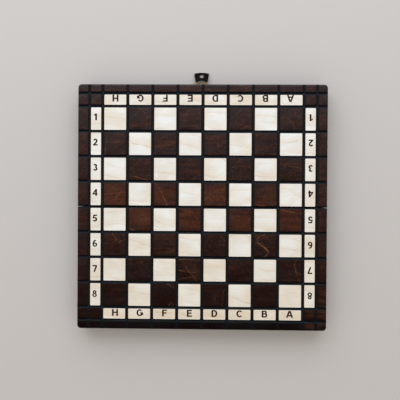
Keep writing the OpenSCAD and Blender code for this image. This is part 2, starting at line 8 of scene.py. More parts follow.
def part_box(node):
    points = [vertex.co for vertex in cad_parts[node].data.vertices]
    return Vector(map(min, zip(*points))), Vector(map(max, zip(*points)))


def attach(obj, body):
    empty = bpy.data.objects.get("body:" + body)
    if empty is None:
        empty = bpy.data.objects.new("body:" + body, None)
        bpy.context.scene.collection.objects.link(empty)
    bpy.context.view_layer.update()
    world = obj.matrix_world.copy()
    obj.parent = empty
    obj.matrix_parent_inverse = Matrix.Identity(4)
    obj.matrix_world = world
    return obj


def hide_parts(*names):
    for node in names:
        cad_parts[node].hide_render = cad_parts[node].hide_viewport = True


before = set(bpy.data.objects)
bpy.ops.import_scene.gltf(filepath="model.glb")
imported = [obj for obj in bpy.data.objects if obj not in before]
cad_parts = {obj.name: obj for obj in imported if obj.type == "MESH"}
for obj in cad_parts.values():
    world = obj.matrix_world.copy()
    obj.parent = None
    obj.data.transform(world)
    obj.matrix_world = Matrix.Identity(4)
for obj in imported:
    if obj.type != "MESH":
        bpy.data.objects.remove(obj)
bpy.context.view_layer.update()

# Rails: eight strips of beech, finger-jointed into two shallow frames that form the case's walls. They are
# stained nearly black and varnished, with sanded edges, and the ends of the fingers show darker end grain.
MM = 0.001
X_AXIS, Y_AXIS = 0, 1
rail_edge = 0.35 * MM
rail_fibre = (34 * MM, 0.9 * MM)
merge_reach = 0.001 * MM
flat_degrees = 0.3
edge_degrees = 35
smooth_degrees = 30


def colour(code):
    """Linear colour of a screen colour that is written as six hex digits."""
    parts = [int(code[i:i + 2], 16) / 255 for i in (0, 2, 4)]
    return [p / 12.92 if p <= 0.04045 else ((p + 0.055) / 1.055) ** 2.4 for p in parts] + [1]


def feed(tree, socket, value):
    """Gives a socket a plain value, or links it to another socket."""
    if isinstance(value, bpy.types.NodeSocket):
        tree.links.new(value, socket)
    else:
        socket.default_value = value


def add(tree, kind, inputs=(), **settings):
    """New node with its settings, and with its inputs fed by name or number."""
    node = tree.nodes.new(kind)
    for name, value in settings.items():
        setattr(node, name, value)
    for key, value in dict(inputs).items():
        feed(tree, node.inputs[key], value)
    return node


def calc(tree, operation, *values):
    """Result of one sum on numbers or sockets."""
    return add(tree, "ShaderNodeMath", enumerate(values), operation=operation).outputs[0]


def finish(name):
    """New varnish or metal finish: its material, its node tree and its surface shader."""
    material = bpy.data.materials.new(name)
    material.use_nodes = True
    return material, material.node_tree, material.node_tree.nodes["Principled BSDF"]


def noise(tree, per_metre, detail=3.0, roughness=0.5, distortion=0.0, shift=(0, 0, 0)):
    """Noise fixed to the piece, with so many lumps to the metre along X, Y and Z."""
    place = add(tree, "ShaderNodeTexCoord").outputs["Object"]
    scaled = add(tree, "ShaderNodeMapping", {"Vector": place, "Location": shift, "Scale": per_metre})
    return add(tree, "ShaderNodeTexNoise", {
        "Vector": scaled.outputs[0], "Scale": 1, "Detail": detail, "Roughness": roughness,
        "Distortion": distortion,
    }).outputs["Fac"]


def fibres(tree, axis, length, width, **settings):
    """Noise drawn out along the wood's grain."""
    per_metre = [1 / width] * 3
    per_metre[axis] = 1 / length
    return noise(tree, per_metre, **settings)


def between(tree, value, low, high, out_low=0.0, out_high=1.0):
    """The value's place between low and high, smoothed, and spread over the two outputs."""
    return add(tree, "ShaderNodeMapRange", {
        "Value": value, "From Min": low, "From Max": high, "To Min": out_low, "To Max": out_high,
    }, interpolation_type="SMOOTHSTEP").outputs[0]


def ramp(tree, value, *stops):
    """Colour that runs through the stops, each a place from 0 to 1 and six hex digits."""
    node = add(tree, "ShaderNodeValToRGB", {"Fac": value})
    elements = node.color_ramp.elements
    while len(elements) < len(stops):
        elements.new(0.5)
    for element, (place, code) in zip(elements, stops):
        element.position = place
        element.color = colour(code)
    return node.outputs["Color"]


def over(tree, amount, under, top, how="MIX"):
    """Colour top laid over colour under by an amount from 0 to 1."""
    mixed = add(tree, "ShaderNodeMix", {0: amount, 6: under, 7: top}, data_type="RGBA", blend_type=how)
    return mixed.outputs[2]


def relief(tree, shader, height, depth):
    """Fine relief of a height from 0 to 1, so deep in metres."""
    bump = add(tree, "ShaderNodeBump", {"Strength": 1, "Distance": depth, "Height": height})
    feed(tree, shader.inputs["Normal"], bump.outputs[0])


def parts_of(tree, output):
    """X, Y and Z of one of the texture coordinates."""
    coordinate = add(tree, "ShaderNodeTexCoord").outputs[output]
    return list(add(tree, "ShaderNodeSeparateXYZ", {0: coordinate}).outputs)


def facing(tree, axis):
    """How squarely a surface faces along an axis of its own piece, from 0 to 1."""
    return calc(tree, "ABSOLUTE", parts_of(tree, "Normal")[axis])


def rail_finish(name, axis):
    """Dark stain under satin varnish on beech whose grain runs along the axis."""
    material, tree, shader = finish(name)
    grain = fibres(tree, axis, *rail_fibre, detail=6, distortion=0.3)
    cloud = noise(tree, (22, 22, 40), detail=2)
    stain = ramp(tree, grain, (0.3, "1a0d08"), (0.5, "2c170e"), (0.72, "432416"))
    stain = over(tree, between(tree, cloud, 0.35, 0.7, 0, 0.6), stain, colour("1a0e0a"))
    end_grain = between(tree, facing(tree, axis), 0.6, 0.9, 0, 0.6)
    stain = over(tree, end_grain, stain, colour("0f0705"))
    feed(tree, shader.inputs["Base Color"], stain)
    feed(tree, shader.inputs["Roughness"], between(tree, grain, 0.3, 0.7, 0.5, 0.38))
    shader.inputs["Specular IOR Level"].default_value = 0.4
    relief(tree, shader, grain, 0.08 * MM)
    return material


def eased(node, body, material, width):
    """Copy of a CAD node with its edges rounded over, which then stands for the node."""
    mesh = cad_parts[node].data.copy()
    shape = bmesh.new()
    shape.from_mesh(mesh)
    bmesh.ops.remove_doubles(shape, verts=shape.verts, dist=merge_reach)
    bmesh.ops.dissolve_limit(
        shape, angle_limit=math.radians(flat_degrees), verts=shape.verts, edges=shape.edges, delimit=set())
    shape.to_mesh(mesh)
    shape.free()
    for old in [a.name for a in mesh.attributes if a.name == "custom_normal"]:
        mesh.attributes.remove(mesh.attributes[old])
    piece = bpy.data.objects.new(f"eased_{node}", mesh)
    bpy.context.scene.collection.objects.link(piece)
    bevel = piece.modifiers.new("eased", "BEVEL")
    bevel.width = width
    bevel.segments = 2
    bevel.limit_method = "ANGLE"
    bevel.angle_limit = math.radians(edge_degrees)
    settle(piece, smooth_degrees)
    dress(piece, body, material)
    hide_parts(node)
    return piece


def settle(piece, sharp_from):
    """Turns a piece and its modifiers into one plain mesh, smooth up to an angle in degrees."""
    bpy.context.view_layer.update()
    solid = bpy.data.meshes.new_from_object(piece.evaluated_get(bpy.context.evaluated_depsgraph_get()))
    piece.modifiers.clear()
    piece.data = solid
    solid.shade_smooth()
    solid.set_sharp_from_angle(angle=math.radians(sharp_from))


def dress(piece, body, material):
    """Gives a piece its finish and its body."""
    piece.data.materials.clear()
    piece.data.materials.append(material)
    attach(piece, body)


rail_along_x = rail_finish("stained_rail_along_x", X_AXIS)
rail_along_y = rail_finish("stained_rail_along_y", Y_AXIS)
for half in ("far", "near"):
    for side in ("front", "hinge"):
        eased(f"{half}_{side}_rail", f"{half}_half", rail_along_x, rail_edge)
    for side in ("left", "right"):
        eased(f"{half}_{side}_rail", f"{half}_half", rail_along_y, rail_edge)

# Playing panels: two sheets of birch plywood, glued on the rails. The grid of grooves is routed and scorched
# black, the dark squares and the borders are stained between the grooves, and satin varnish covers it all.
far_low, far_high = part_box("far_panel")
near_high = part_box("near_panel")[1]
fold_y = (far_low.y + near_high.y) / 2
panel_top = far_high.z
ink_thickness = 0.03 * MM
board_width = far_high.x - far_low.x
square_pitch = 31.4 * MM
left_border = 14.6 * MM
right_border = 13.1 * MM
end_border = 11.4 * MM
letter_band = 16.2 * MM
number_band = (board_width - 8 * square_pitch - left_border - right_border) / 2
field_x = (left_border - right_border) / 2
half_field = 4 * square_pitch
panel_sizes = {
    "Board width": board_width,
    "Fold edge": far_low.y - fold_y,
    "Far edge": far_high.y - fold_y,
    "Top": panel_top - ink_thickness,
    "Underside": far_low.z,
    "Square pitch": square_pitch,
    "Left border": left_border,
    "Right border": right_border,
    "End border": end_border,
    "Groove width": 3.2 * MM,
    "Groove depth": 1.4 * MM,
    "Groove root": 0.3 * MM,
    "Groove lip": 0.14 * MM,
    "Cell corner": 1.3 * MM,
    "Edge radius": 2 * MM,
    "Corner radius": 4.5 * MM,
    "Fold corner radius": 1.2 * MM,
    "Step": 0.32 * MM,
    "Wide step": 0.9 * MM,
}
cells_x, cells_y, stations = 12, 6, 20
edge_stations = 6
far_away = 20 * MM
panel_smooth_degrees = 60
birch_fibre = (26 * MM, 0.8 * MM)
ring_spacing = 17 * MM
ring_lean = 0.16
ring_wave = 3.2
near_side_shade = (90 * MM, -220 * MM)
stain_streak = (30 * MM, 5 * MM)
lighter_by_fold = (44 * MM, 16 * MM)
near_stain_and_shade = (-40 * MM, -150 * MM)
near_rim_dark = (-145 * MM, -152 * MM)
thin_corner_x = (118 * MM, 140 * MM)
thin_corner_y = (-90 * MM, -135 * MM)
scuffed_rows = (85 * MM, 30 * MM)
scorch_edge_mm = (1.9, 1.66)
ply_pair_mm = 1.6
edge_blur = 1 * MM


def routed_panel():
    """Tree that lays a grid of points over one half, close together at the grooves and the rounded edge."""
    tree = bpy.data.node_groups.new("Routed panel", "GeometryNodeTree")
    for name in panel_sizes:
        tree.interface.new_socket(name, in_out="INPUT", socket_type="NodeSocketFloat")
    tree.interface.new_socket("Light parity", in_out="INPUT", socket_type="NodeSocketFloat")
    tree.interface.new_socket("Finish", in_out="INPUT", socket_type="NodeSocketMaterial")
    tree.interface.new_socket("Geometry", in_out="OUTPUT", socket_type="NodeSocketGeometry")
    given = add(tree, "NodeGroupInput").outputs

    def do(operation, *values):
        return calc(tree, operation, *values)

    def pick(test, yes, no):
        return add(tree, "GeometryNodeSwitch", {0: test, 1: no, 2: yes}, input_type="FLOAT").outputs[0]

    def half(value):
        return do("MULTIPLY", value, 0.5)

    def length(a, b):
        return do("SQRT", do("ADD", do("MULTIPLY", a, a), do("MULTIPLY", b, b)))

    def outside(a, b):
        """Distance from a round-cornered square, from how far a point lies past its flat sides."""
        beyond = length(do("MAXIMUM", a, 0), do("MAXIMUM", b, 0))
        return do("ADD", beyond, do("MINIMUM", do("MAXIMUM", a, b), 0))

    half_width = half(given["Board width"])
    field = half(do("SUBTRACT", given["Left border"], given["Right border"]))

    def column_line(n):
        square = do("ADD", field, do("MULTIPLY", do("SUBTRACT", n, cells_x / 2), given["Square pitch"]))
        border_line = do("SUBTRACT", half_width, given["Right border"])
        line = pick(do("GREATER_THAN", n, cells_x - 1.5), border_line, square)
        line = pick(do("GREATER_THAN", n, cells_x - 0.5), half_width, line)
        line = pick(do("LESS_THAN", n, 1.5), do("SUBTRACT", given["Left border"], half_width), line)
        return pick(do("LESS_THAN", n, 0.5), do("MULTIPLY", half_width, -1), line)

    def row_line(n):
        square = do("ADD", given["Fold edge"], do("MULTIPLY", n, given["Square pitch"]))
        border_line = do("SUBTRACT", given["Far edge"], given["End border"])
        line = pick(do("GREATER_THAN", n, cells_y - 1.5), border_line, square)
        line = pick(do("GREATER_THAN", n, cells_y - 0.5), given["Far edge"], line)
        return pick(do("LESS_THAN", n, 0.5), 0, line)

    def station(k, low, high, edge):
        """Place of point k of a cell: fine steps beside its lines, and one point in its middle."""
        steps = do("MINIMUM", k, do("SUBTRACT", stations, k))
        by_groove = do("MULTIPLY", steps, given["Step"])
        turn = do("MULTIPLY", do("MINIMUM", steps, edge_stations), math.radians(90 / edge_stations))
        by_edge = do("MULTIPLY", do("SUBTRACT", 1, do("COSINE", turn)), given["Edge radius"])
        wide = do("MULTIPLY", do("MAXIMUM", do("SUBTRACT", steps, edge_stations), 0), given["Wide step"])
        inset = pick(edge, do("ADD", by_edge, wide), by_groove)
        place = pick(do("LESS_THAN", k, stations / 2), do("ADD", low, inset), do("SUBTRACT", high, inset))
        return pick(do("COMPARE", k, stations / 2, 0.5), half(do("ADD", low, high)), place)

    def rounded(x, y, centre_x, centre_y, radius):
        """Moves the points of a square corner zone onto quarter rings."""
        a = do("SUBTRACT", x, centre_x)
        b = do("SUBTRACT", y, centre_y)
        inside = do("MULTIPLY", do("GREATER_THAN", a, 0), do("GREATER_THAN", b, 0))
        shrink = do("DIVIDE", do("MAXIMUM", a, b), do("MAXIMUM", length(a, b), merge_reach))
        new_x = do("ADD", centre_x, do("MULTIPLY", a, shrink))
        new_y = do("ADD", centre_y, do("MULTIPLY", b, shrink))
        return pick(inside, new_x, x), pick(inside, new_y, y)

    # One flat grid of points, numbered by its cell and by the point's count k within the cell.
    grid = add(tree, "GeometryNodeMeshGrid", {
        "Size X": cells_x * stations, "Size Y": cells_y * stations,
        "Vertices X": cells_x * stations + 1, "Vertices Y": cells_y * stations + 1,
    }).outputs["Mesh"]
    place = add(tree, "ShaderNodeSeparateXYZ", {0: add(tree, "GeometryNodeInputPosition").outputs[0]}).outputs
    count_x = do("ROUND", do("ADD", place[0], cells_x * stations / 2))
    count_y = do("ROUND", do("ADD", place[1], cells_y * stations / 2))
    column = do("MINIMUM", do("FLOOR", do("DIVIDE", count_x, stations)), cells_x - 1)
    row = do("MINIMUM", do("FLOOR", do("DIVIDE", count_y, stations)), cells_y - 1)
    k_x = do("SUBTRACT", count_x, do("MULTIPLY", column, stations))
    k_y = do("SUBTRACT", count_y, do("MULTIPLY", row, stations))
    first, last = do("LESS_THAN", column, 0.5), do("GREATER_THAN", column, cells_x - 1.5)
    end = do("GREATER_THAN", row, cells_y - 1.5)

    # Each cell's lines, and the point's place between them.
    x_low, x_high = column_line(column), column_line(do("ADD", column, 1))
    y_low, y_high = row_line(row), row_line(do("ADD", row, 1))
    left_side = do("LESS_THAN", k_x, stations / 2)
    x_edge = pick(left_side, first, last)
    y_edge = pick(do("GREATER_THAN", k_y, stations / 2), end, 0)
    x = station(k_x, x_low, x_high, x_edge)
    y = do("MAXIMUM", station(k_y, y_low, y_high, y_edge), given["Fold edge"])

    # The outline's corners: wide ones at the far edge, small ones at the fold.
    side = do("SIGN", x)
    across = do("ABSOLUTE", x)
    radius = given["Corner radius"]
    across, y = rounded(
        across, y, do("SUBTRACT", half_width, radius), do("SUBTRACT", given["Far edge"], radius), radius)
    small = given["Fold corner radius"]
    across, mirrored = rounded(
        across, do("MULTIPLY", y, -1), do("SUBTRACT", half_width, small),
        do("MULTIPLY", do("ADD", given["Fold edge"], small), -1), small)
    y = do("MULTIPLY", mirrored, -1)
    x = do("MULTIPLY", across, side)

    # How far a point lies into the groove round its cell; the outermost cells have none at the board's edge.
    outer_low = pick(first, do("SUBTRACT", x_low, far_away), x_low)
    outer_high = pick(last, do("ADD", x_high, far_away), x_high)
    outer_end = pick(end, do("ADD", y_high, far_away), y_high)
    groove_half = half(given["Groove width"])
    trim = do("ADD", groove_half, given["Cell corner"])
    flat_x = do("SUBTRACT", half(do("SUBTRACT", outer_high, outer_low)), trim)
    flat_y = do("SUBTRACT", half(do("SUBTRACT", outer_end, y_low)), trim)
    past_x = do("SUBTRACT", do("ABSOLUTE", do("SUBTRACT", x, half(do("ADD", outer_low, outer_high)))), flat_x)
    past_y = do("SUBTRACT", do("ABSOLUTE", do("SUBTRACT", y, half(do("ADD", y_low, outer_end)))), flat_y)
    from_cell = do("SUBTRACT", outside(past_x, past_y), given["Cell corner"])
    from_groove = do("MAXIMUM", do("SUBTRACT", groove_half, from_cell), 0)

    # Height: a V groove with a blunt root and eased lips, or the quarter round of the board's edge.
    shoulder = do("DIVIDE", length(from_groove, given["Groove root"]), groove_half)
    cut = do("MULTIPLY", do("SUBTRACT", 1, shoulder), given["Groove depth"])
    groove_cut = half(do("ADD", cut, length(cut, given["Groove lip"])))
    from_outline = do("SUBTRACT", outside(
        do("SUBTRACT", across, do("SUBTRACT", half_width, radius)),
        do("SUBTRACT", y, do("SUBTRACT", given["Far edge"], radius))), radius)
    edge_radius = given["Edge radius"]
    into_edge = do("MINIMUM", do("MAXIMUM", do("ADD", edge_radius, from_outline), 0), edge_radius)
    squares = do("SUBTRACT", do("MULTIPLY", edge_radius, edge_radius), do("MULTIPLY", into_edge, into_edge))
    edge_cut = do("SUBTRACT", edge_radius, do("SQRT", do("MAXIMUM", squares, 0)))
    z = do("SUBTRACT", given["Top"], do("MAXIMUM", groove_cut, edge_cut))

    # Marks for the finish: the groove's distance, dark or light, the cell, and which edge a point lies by.
    number_column = do("MAXIMUM", do("COMPARE", column, 1, 0.5), do("COMPARE", column, cells_x - 2, 0.5))
    letter_row = do("COMPARE", row, cells_y - 2, 0.5)
    corner = do("MULTIPLY", number_column, letter_row)
    band = do("MAXIMUM", number_column, letter_row)
    odd = do("FLOORED_MODULO", do("ADD", do("ADD", column, row), given["Light parity"]), 2)
    border = do("MAXIMUM", do("MAXIMUM", first, last), end)
    dark = do("MAXIMUM", pick(band, corner, odd), border)
    cell = do("ADD", column, do("MULTIPLY", row, cells_x))
    cell = do("ADD", cell, do("MULTIPLY", given["Light parity"], 0.5))
    lengthwise = do("GREATER_THAN", past_x, past_y)
    outward = do("SUBTRACT", do("GREATER_THAN", y, half(do("ADD", y_low, outer_end))), 0.5)
    outward = do("MULTIPLY", do("MULTIPLY", outward, 2), do("SUBTRACT", 1, lengthwise))
    marks = {
        "groove_mm": do("DIVIDE", from_groove, MM), "dark": dark, "cell": cell,
        "lengthwise": lengthwise, "outward": outward,
    }
    for name, value in marks.items():
        grid = add(tree, "GeometryNodeStoreNamedAttribute", {
            "Geometry": grid, "Name": name, "Value": value}, data_type="FLOAT", domain="POINT").outputs[0]

    # The face, with walls drawn down from its rim and a flat back.
    moved = add(tree, "ShaderNodeCombineXYZ", {0: x, 1: y, 2: z}).outputs[0]
    face = add(tree, "GeometryNodeSetPosition", {"Geometry": grid, "Position": moved}).outputs[0]
    rim = do("LESS_THAN", add(tree, "GeometryNodeInputMeshEdgeNeighbors").outputs[0], 1.5)
    here = add(tree, "ShaderNodeSeparateXYZ", {0: add(tree, "GeometryNodeInputPosition").outputs[0]}).outputs
    below = add(tree, "ShaderNodeCombineXYZ", {0: here[0], 1: here[1], 2: given["Underside"]}).outputs[0]
    walls = add(
        tree, "GeometryNodeExtrudeMesh", {"Mesh": face, "Selection": rim, "Offset Scale": 0}, mode="EDGES")
    walled = add(tree, "GeometryNodeSetPosition", {
        "Geometry": walls.outputs["Mesh"], "Selection": walls.outputs["Top"], "Position": below}).outputs[0]
    outline = add(tree, "GeometryNodeMeshToCurve", {"Mesh": face, "Selection": rim}).outputs[0]
    back = add(tree, "GeometryNodeFillCurve", {"Curve": outline}, mode="NGONS").outputs[0]
    back = add(tree, "GeometryNodeSetPosition", {"Geometry": back, "Position": below}).outputs[0]
    joined = add(tree, "GeometryNodeJoinGeometry")
    tree.links.new(back, joined.inputs[0])
    tree.links.new(walled, joined.inputs[0])
    closed = add(tree, "GeometryNodeMergeByDistance", {
        "Geometry": joined.outputs[0], "Distance": 2 * merge_reach}).outputs[0]
    plain = add(tree, "GeometryNodeRealizeInstances", {"Geometry": closed}).outputs[0]
    done = add(tree, "GeometryNodeSetMaterial", {"Geometry": plain, "Material": given["Finish"]}).outputs[0]
    add(tree, "NodeGroupOutput", {0: done})
    return tree


def made_by(tree, name, values):
    """Plain mesh object that a geometry tree makes from the values of its named inputs."""
    piece = bpy.data.objects.new(name, bpy.data.meshes.new(name))
    bpy.context.scene.collection.objects.link(piece)
    modifier = piece.modifiers.new(name, "NODES")
    modifier.node_group = tree
    for item in tree.interface.items_tree:
        if item.in_out == "INPUT":
            modifier[item.identifier] = values[item.name]
    settle(piece, panel_smooth_degrees)
    return piece


def board_finish():
    """Birch and stain between scorched grooves, told apart by the marks on the panel's points."""
    material, tree, shader = finish("playing_face")

    def do(operation, *values):
        return calc(tree, operation, *values)

    def fade(*values):
        return between(tree, *values)

    def lay(amount, under, code, how="MIX"):
        return over(tree, amount, under, colour(code), how)

    def mark(name):
        return add(tree, "ShaderNodeAttribute", attribute_name=name).outputs["Fac"]

    x, y, z = parts_of(tree, "Object")
    from_fold = do("ABSOLUTE", do("SUBTRACT", y, fold_y))
    from_middle = do("ABSOLUTE", do("SUBTRACT", x, field_x))
    depth_mm = do("DIVIDE", do("SUBTRACT", panel_top, z), MM)
    groove, dark, lengthwise, end_side = (mark(n) for n in ("groove_mm", "dark", "lengthwise", "outward"))
    grain = fibres(tree, X_AXIS, *birch_fibre, detail=6, distortion=0.4)
    tone = fibres(tree, X_AXIS, *stain_streak, detail=3, shift=(2, 8, 0))
    patch = noise(tree, (28, 44, 28), detail=2, shift=(0, 5, 0))
    blush = noise(tree, (40, 60, 40), detail=3, shift=(9, 2, 0))
    mottle = noise(tree, (420, 560, 420), detail=3, roughness=0.65)
    chance = add(tree, "ShaderNodeTexWhiteNoise", {"W": mark("cell")}, noise_dimensions="1D").outputs["Value"]

    def birch():
        """Birch face veneer: faint growth rings, warmer and darker towards the near side as painted shade,
        stain in its rims, and a painted highlight beside the cross grooves.
        """
        wood = ramp(tree, patch, (0.34, "f5f4f1"), (0.5, "f0ece5"), (0.66, "eae0d2"))
        wood = lay(fade(blush, 0.55, 0.72, 0, 0.4), wood, "edd5bb")
        slope = do("ADD", y, do("MULTIPLY", x, ring_lean))
        wave = noise(tree, (11, 26, 11), detail=1.5, shift=(3, 0, 0))
        rings = do("ADD", do("DIVIDE", slope, ring_spacing), do("MULTIPLY", wave, ring_wave))
        wood = lay(fade(do("FRACT", rings), 0.02, 0.5, 0.25, 0), wood, "ead3b8")
        ring_line = fade(do("PINGPONG", rings, 0.5), 0.05, 0.005)
        ring_line = do("MULTIPLY", ring_line, fade(mottle, 0.35, 0.6, 0.15, 0.6))
        wood = lay(do("MULTIPLY", ring_line, fade(patch, 0.38, 0.6, 0.35, 1)), wood, "cfb596")
        wood = lay(fade(grain, 0.5, 0.72, 0, 0.35), wood, "d5c8b2")
        # Painted shade: warmer and darker towards the near side, where the window's light falls off.
        wood = lay(fade(y, *near_side_shade, 0, 0.8), wood, "f8f0e2", "MULTIPLY")
        wood = lay(fade(from_fold, half_field, half_field + edge_blur), wood, "fcf8f3", "MULTIPLY")
        wood = lay(do("MULTIPLY", fade(groove, 5, 2.2, 0, 0.55), lengthwise), wood, "ead8c2")
        # Painted highlight: a paler rim on the light squares beside the grooves that run across the board.
        return lay(do("MULTIPLY", fade(groove, 3.4, 2.2, 0, 0.4), do("ABSOLUTE", end_side)), wood, "f9f1e6")

    def stain():
        """Brown stain: lighter and redder beside the fold, darker towards the near side as stain and painted
        shade, near black along the near rim, with a few pale scuffs.
        """
        on_squares = do("MULTIPLY", fade(from_fold, half_field, half_field - edge_blur),
                        fade(from_middle, half_field, half_field - edge_blur))
        # Lighter, redder stain beside the fold.
        fold_lightening = do("MULTIPLY", fade(from_fold, *lighter_by_fold, 0, 0.5), on_squares)
        wood = ramp(tree, grain, (0.3, "1d0c07"), (0.5, "30160d"), (0.7, "4b2314"))
        wood = lay(fold_lightening, wood, "5f2c10")
        wood = lay(fade(tone, 0.3, 0.52, 0.65, 0), wood, "1c0d0b")
        wood = lay(fade(tone, 0.52, 0.72, 0, 0.5), wood, "5a2f18")
        wood = lay(fade(patch, 0.3, 0.62, 0.5, 0), wood, "200d08")
        wood = lay(fade(chance, 0, 0.7, 0.4, 0), wood, "1d0c07")
        wood = lay(do("MULTIPLY", fade(chance, 0.6, 1, 0, 0.6), fold_lightening), wood, "6b3613")
        wood = lay(fade(mottle, 0.33, 0.52, 0.4, 0), wood, "170805")
        wood = lay(fade(mottle, 0.5, 0.7, 0, 0.28), wood, "69371c")
        # Darker towards the near side: partly stain, partly painted shade where the window's light falls off.
        wood = lay(fade(y, *near_stain_and_shade, 0, 0.75), wood, "190502")
        # Near black along the near rim.
        wood = lay(fade(y, *near_rim_dark, 0, 0.85), wood, "0d0100")
        thin_corner = do("MULTIPLY", fade(x, *thin_corner_x, 0, 0.55), fade(y, *thin_corner_y))
        wood = lay(do("MULTIPLY", thin_corner, fade(tone, 0.35, 0.6)), wood, "4f2a0e")
        wood = lay(fade(groove, 3.4, 1.5, 0, 0.7), wood, "120c0d")
        scuffed = do("MULTIPLY", on_squares, fade(y, *scuffed_rows, 0.25, 1))
        for across, along, thick, shift in (
                (9, 34, 0.007, (1, 7, 0)), (30, 12, 0.006, (6, 2, 0)), (21, 24, 0.006, (4, 13, 0))):
            curve = noise(tree, (across, along, across), detail=0.5, distortion=0.3, shift=shift)
            from_curve = do("ABSOLUTE", do("SUBTRACT", curve, 0.5))
            stretch = fade(noise(tree, (17, 23, 17), detail=1, shift=shift), 0.46, 0.68)
            scuff = do("MULTIPLY", fade(from_curve, thick, thick * 0.3), stretch)
            scuff = do("MULTIPLY", scuff, fade(mottle, 0.35, 0.6, 0.1, 0.75))
            wood = lay(do("MULTIPLY", scuff, scuffed), wood, "8f5a34")
        return wood

    def groove_black():
        """Burnt wood in the grooves, browner in those that run lengthwise, with a painted bluish reflection
        along their roots that is widest where two cross.
        """
        browner = do("MULTIPLY", lengthwise, fade(y, -152 * MM, -140 * MM))
        black = over(tree, browner, colour("010000"), colour("120602"))
        # Painted reflection: bluish window light along the grooves' roots and where two cross.
        return lay(fade(groove, 0.22, 0.02, 0, 0.45), black, "0b1d30")

    def scorch():
        """How scorched a point is, with painted shade: ragged with the grain, wider along the lengthwise
        grooves for the shade of their side walls, wider on the light squares' sides towards the clasp and
        narrower on their other sides.
        """
        ragged = do("ADD", groove, do("MULTIPLY", do("SUBTRACT", grain, 0.5), 0.35))
        # Painted shade: the black band runs wider along the lengthwise grooves, for the shade on their side
        # walls.
        burnt_and_shaded = do("SUBTRACT", ragged, do("MULTIPLY", lengthwise, 0.22))
        clasp_side = do("MULTIPLY", end_side, do("SIGN", do("SUBTRACT", y, fold_y)))
        on_light = do("MULTIPLY", clasp_side, do("SUBTRACT", 1, dark))
        return fade(do("SUBTRACT", burnt_and_shaded, do("MULTIPLY", on_light, 0.16)), *scorch_edge_mm)

    def plies():
        """Stained edge of the plywood, with its layers."""
        layer = do("FRACT", do("DIVIDE", depth_mm, ply_pair_mm))
        edge = ramp(tree, layer, (0.4, "2a160d"), (0.6, "150b07"))
        return lay(fade(grain, 0.4, 0.7, 0, 0.5), edge, "3b2012")

    wood = over(tree, fade(dark, 0.4, 0.6), birch(), stain())
    # Darker down the rounded edge and the groove walls: stain that gathers there, and painted shade where the
    # surface turns from the light.
    wood = lay(fade(depth_mm, 0.15, 1.1), wood, "120a08")
    wood = over(tree, scorch(), wood, groove_black())
    wood = over(tree, fade(depth_mm, 1.8, 2.1), wood, plies())
    feed(tree, shader.inputs["Base Color"], wood)
    matt = do("ADD", fade(grain, 0.3, 0.7, 0.1, 0), fade(blush, 0.35, 0.65, 0.34, 0.24))
    feed(tree, shader.inputs["Roughness"], do("ADD", matt, fade(groove, 2.2, 1.4, 0, 0.4)))
    shader.inputs["Specular IOR Level"].default_value = 0.34
    height = do("ADD", do("MULTIPLY", grain, 0.3), fade(groove, 1.6, 5.5))
    relief(tree, shader, height, 0.13 * MM)
    return material


panel_tree = routed_panel()
board = board_finish()
for half, parity in (("far", 1), ("near", 0)):
    panel_values = {**panel_sizes, "Light parity": parity, "Finish": board}
    panel = made_by(panel_tree, f"{half}_playing_face", panel_values)
    if half == "near":
        panel.data.transform(Matrix.Diagonal((1, -1, 1, 1)))
    panel.data.transform(Matrix.Translation((0, fold_y, 0)))
    shell = bmesh.new()
    shell.from_mesh(panel.data)
    bmesh.ops.recalc_face_normals(shell, faces=shell.faces)
    shell.to_mesh(panel.data)
    shell.free()
    dress(panel, f"{half}_half", board)
    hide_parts(f"{half}_panel")

# Letters and numbers: generic coordinates in a plain bold face, printed in brown on the light border squares
# after the staining. The print sits a little off the middle of its squares, as a pad print does.
cap_height = 8.5 * MM
letter_width = 1.06
ink_sunk = 0.1 * MM
stem = 0.24
bar = 0.195
ring_stroke = 0.2
arc_steps = 10
outline_merge = 1e-4
ink_fibre = (12 * MM, 0.5 * MM)
print_shift = {"far": (-0.5, 1.8), "near": (0.3, 1.1), "left": (-0.75, 1.4), "right": (0.5, 1.25)}
letter_pitch = 31.2 * MM
number_pitch = 31.6 * MM


def leg(x0, x1, y0=0.0, y1=1.0, wide=stem):
    """Upright or leaning stem with level ends."""
    return [(x0 - wide / 2, y0), (x0 + wide / 2, y0), (x1 + wide / 2, y1), (x1 - wide / 2, y1)]


def rung(y, x0, x1):
    """Level bar."""
    return [(x0, y - bar / 2), (x1, y - bar / 2), (x1, y + bar / 2), (x0, y + bar / 2)]


def slant(x0, y0, x1, y1, wide=stem * 0.9):
    """Straight stroke with square ends."""
    reach = math.hypot(x1 - x0, y1 - y0)
    dx, dy = (y0 - y1) / reach * wide / 2, (x1 - x0) / reach * wide / 2
    return [(x0 - dx, y0 - dy), (x1 - dx, y1 - dy), (x1 + dx, y1 + dy), (x0 + dx, y0 + dy)]


def bowl(x, y, rx, ry, start, end, side=stem, level=bar):
    """Part of an oval ring, between two angles in degrees, so wide at its sides and at its top and foot."""
    turns = [math.radians(start + (end - start) * k / arc_steps) for k in range(arc_steps + 1)]
    outer = [(x + rx * math.cos(t), y + ry * math.sin(t)) for t in turns]
    inner = [(x + (rx - side) * math.cos(t), y + (ry - level) * math.sin(t)) for t in reversed(turns)]
    return outer + inner


def ring(x, y, rx, ry):
    """Whole oval ring in two halves, with a thinner stroke that keeps its middle open."""
    return [bowl(x, y, rx, ry, start, start + 180, ring_stroke, ring_stroke * 0.8) for start in (0, 180)]


